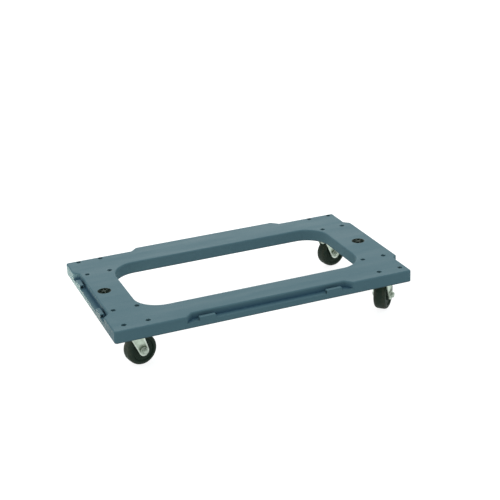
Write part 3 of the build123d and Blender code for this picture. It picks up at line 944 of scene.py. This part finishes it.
class TROLLEY_OT_add_ball_races(bpy.types.Operator):
    """Adds the caged row of balls between each plate and its fork"""

    bl_idname = "trolley.add_ball_races"
    bl_label = "Ball races"

    def execute(self, context):
        shape, metal = context.scene.trolley_bearings, context.scene.trolley_metal
        steel = plain_steel_material("race_steel", metal.bare, roughness=0.25)
        cage_in, cage_out = shape.pitch_radius - shape.cage, shape.pitch_radius + shape.cage
        half, steps = 0.35 * MM, 72
        ring = [(cage_in, -half), (cage_in, half), (cage_out, half), (cage_out, -half)]
        radii, heights = round_rings(ring, steps)
        for caster in CASTERS:
            low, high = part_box(f"{caster}_ball_race")
            centre = (low + high) / 2
            cage = turned_mesh("cage", radii, heights, centre, UP, closed=True)
            race = joined(f"{caster}_caged_balls", [cage, self.balls(shape, centre)])
            place(race, steel, ROOT_BODY, [f"{caster}_ball_race"])
        return {"FINISHED"}

    def balls(self, shape, centre):
        """All the balls of one race.

        A ball's points are its centre on the pitch circle plus the ball's radius along
        the direction of each longitude and latitude.
        """
        longitudes, latitudes = 10, 7
        turn = np.linspace(0, 2 * np.pi, longitudes, endpoint=False)
        rise = np.linspace(-np.pi / 2, np.pi / 2, latitudes)
        around, up = np.meshgrid(turn, rise)
        level = np.cos(up)
        sphere = np.stack([level * np.cos(around), level * np.sin(around), np.sin(up)], -1)
        sphere = sphere.reshape(-1, 3) * shape.ball
        station = np.linspace(0, 2 * np.pi, shape.balls, endpoint=False)
        circle = np.stack([np.cos(station), np.sin(station), 0 * station], 1) * shape.pitch_radius
        points = (np.array(centre) + circle[:, None] + sphere[None]).reshape(-1, 3)
        quads = wrapped_quads(latitudes, longitudes, False)
        first_point = np.arange(shape.balls)[:, None, None] * len(sphere)
        quads = (first_point + quads[None]).reshape(-1, 4)
        mesh = mesh_from_arrays("balls", points, quads)
        weld(mesh)
        return mesh


def grey(level):
    """An even grey, as a colour socket takes it."""
    return (level, level, level, 1)


def fill(node, **values):
    """Sets inputs of a node."""
    for key, value in values.items():
        node.inputs[key.replace("_", " ")].default_value = value


class TROLLEY_OT_set_stage(bpy.types.Operator):
    """Sets the floor, the lamps, the room's light and the camera"""

    bl_idname = "trolley.set_stage"
    bl_label = "Stage"

    def floor(self, stage):
        """A floor that the eye and mirrors see nearly white, with a trace of shadow."""
        mesh = bpy.data.meshes.new("studio_floor")
        reach = 40.0
        corners = [(-reach, -reach, 0), (reach, -reach, 0), (reach, reach, 0), (-reach, reach, 0)]
        mesh.from_pydata(corners, [], [(0, 1, 2, 3)])
        floor = bpy.data.objects.new("studio_floor", mesh)
        bpy.context.scene.collection.objects.link(floor)
        material = bpy.data.materials.new("studio_floor")
        material.use_nodes = True
        tree = material.node_tree
        thrown = tree.nodes["Principled BSDF"]
        fill(thrown, Base_Color=grey(stage.bounce), Roughness=0.9, Specular_IOR_Level=0.0)
        shadowed = tree.nodes.new("ShaderNodeBsdfDiffuse")
        fill(shadowed, Color=grey(stage.floor_grey))
        glow = tree.nodes.new("ShaderNodeEmission")
        fill(glow, Color=grey(1), Strength=stage.floor_glow)
        seen = tree.nodes.new("ShaderNodeAddShader")
        tree.links.new(shadowed.outputs[0], seen.inputs[0])
        tree.links.new(glow.outputs[0], seen.inputs[1])
        self.split(tree, thrown, seen, "Material Output")
        mesh.materials.append(material)

    def room(self, strength):
        """White for the eye and for reflections, and soft light for all else."""
        world = bpy.data.worlds.new("studio_room")
        world.use_nodes = True
        tree = world.node_tree
        soft = tree.nodes["Background"]
        cool_white = (0.89, 0.97, 1.0, 1)
        fill(soft, Color=cool_white, Strength=strength)
        white = tree.nodes.new("ShaderNodeBackground")
        fill(white, Color=grey(1), Strength=1.0)
        self.split(tree, soft, white, "World Output")
        bpy.context.scene.world = world

    def split(self, tree, thrown, seen, output):
        """Shows camera, glossy and transmission rays one shader, and all others what is thrown."""
        path = tree.nodes.new("ShaderNodeLightPath")
        by_eye = path.outputs["Is Camera Ray"]
        for ray in ("Is Glossy Ray", "Is Transmission Ray"):
            either = tree.nodes.new("ShaderNodeMath")
            either.operation = "MAXIMUM"
            tree.links.new(by_eye, either.inputs[0])
            tree.links.new(path.outputs[ray], either.inputs[1])
            by_eye = either.outputs[0]
        pick = tree.nodes.new("ShaderNodeMixShader")
        for number, socket in enumerate((by_eye, thrown.outputs[0], seen.outputs[0])):
            tree.links.new(socket, pick.inputs[number])
        tree.links.new(pick.outputs[0], tree.nodes[output].inputs["Surface"])

    def lamp(self, name, power, width, height, at, towards, tint=(1.0, 1.0, 1.0)):
        """A soft rectangular lamp at one point, facing another."""
        light = bpy.data.lights.new(name, "AREA")
        light.energy = power
        light.color = tint
        light.shape = "RECTANGLE"
        light.size = width
        light.size_y = height
        lamp = bpy.data.objects.new(name, light)
        lamp.location = at
        lamp.visible_camera = False
        lamp.rotation_euler = (Vector(towards) - Vector(at)).to_track_quat("-Z", "Y").to_euler()
        bpy.context.scene.collection.objects.link(lamp)

    def lamps(self, stage):
        """A strong lamp low behind the deck, soft ones above and on the left, one by the floor.

        The long lamp by the floor stands just off the deck's left end and tips up at its face.
        """
        behind, above, left = (1.37, 3.76, 1.48), (0.3, 0.3, 2.9), (-2.6, 0.7, 1.0)
        low, deck, end_face = (-0.455, 0.23, 0.03), (0, 0, 0.1), (-0.405, 0.23, 0.118)
        warm_white, pale_amber, amber = (1.0, 0.985, 0.92), (1.0, 0.94, 0.9), (1.0, 0.86, 0.68)
        self.lamp("key_lamp", stage.key, 2.6, 1.0, behind, deck, warm_white)
        self.lamp("top_lamp", stage.top, 2.5, 2.5, above, deck)
        self.lamp("side_lamp", stage.side, 1.6, 1.6, left, deck, pale_amber)
        self.lamp("low_lamp", stage.low, 0.5, 0.1, low, end_face, amber)

    def camera(self, stage):
        """The camera, from its heading, its drop and its roll about the line of sight."""
        heading, drop, roll = stage.heading, stage.drop, stage.roll
        ahead = Vector((
            math.sin(heading) * math.cos(drop),
            math.cos(heading) * math.cos(drop),
            -math.sin(drop),
        ))
        level = Vector((math.cos(heading), -math.sin(heading), 0))
        upward = level.cross(ahead)
        right = level * math.cos(roll) + upward * math.sin(roll)
        up = upward * math.cos(roll) - level * math.sin(roll)
        data = bpy.data.cameras.new("camera")
        data.lens = stage.lens
        data.sensor_width = 36
        data.sensor_fit = "HORIZONTAL"
        data.clip_end = 200
        camera = bpy.data.objects.new("camera", data)
        axes = Matrix((right, up, -ahead)).transposed().to_4x4()
        camera.matrix_world = Matrix.Translation(stage.eye) @ axes
        bpy.context.scene.collection.objects.link(camera)
        bpy.context.scene.camera = camera

    def execute(self, context):
        stage = context.scene.trolley_stage
        self.floor(stage)
        self.room(stage.ambient)
        self.lamps(stage)
        self.camera(stage)
        context.scene.view_settings.view_transform = "Standard"
        return {"FINISHED"}


class TROLLEY_PT_panel(bpy.types.Panel):
    """Lists the steps that dress the trolley"""

    bl_label = "Platform Trolley"
    bl_idname = "TROLLEY_PT_panel"
    bl_space_type = "VIEW_3D"
    bl_region_type = "UI"
    bl_category = "Trolley"

    def draw(self, context):
        for name, (group, *operators) in STEPS.items():
            box = self.layout.box()
            for operator in operators:
                box.operator(operator.bl_idname)
            for key in group.__annotations__:
                box.prop(getattr(context.scene, name), key)


# Each group of values by its name in the scene, with the operators that read it
STEPS = {
    "trolley_plastic": (TrolleyPlasticFinish, TROLLEY_OT_finish_deck),
    "trolley_metal": (TrolleyMetalFinish, TROLLEY_OT_finish_steel),
    "trolley_wheels": (TrolleyWheelShape, TROLLEY_OT_add_wheels),
    "trolley_fasteners": (
        TrolleyFastenerShape,
        TROLLEY_OT_add_deck_fasteners,
        TROLLEY_OT_add_axle_fasteners,
    ),
    "trolley_bearings": (TrolleyBearingShape, TROLLEY_OT_add_ball_races),
    "trolley_stage": (TrolleyStage, TROLLEY_OT_set_stage),
}


def classes():
    """Every class to register."""
    return [cls for step in STEPS.values() for cls in step] + [TROLLEY_PT_panel]


def register():
    for cls in classes():
        bpy.utils.register_class(cls)
    for name, (group, *_) in STEPS.items():
        setattr(bpy.types.Scene, name, PointerProperty(type=group))


def unregister():
    for name in STEPS:
        delattr(bpy.types.Scene, name)
    for cls in reversed(classes()):
        bpy.utils.unregister_class(cls)


def main():
    """Dresses the trolley step by step."""
    register()
    bpy.ops.trolley.finish_deck()
    bpy.ops.trolley.finish_steel()
    bpy.ops.trolley.add_wheels()
    bpy.ops.trolley.add_deck_fasteners()
    bpy.ops.trolley.add_axle_fasteners()
    bpy.ops.trolley.add_ball_races()
    bpy.ops.trolley.set_stage()


if __name__ == "__main__":
    main()
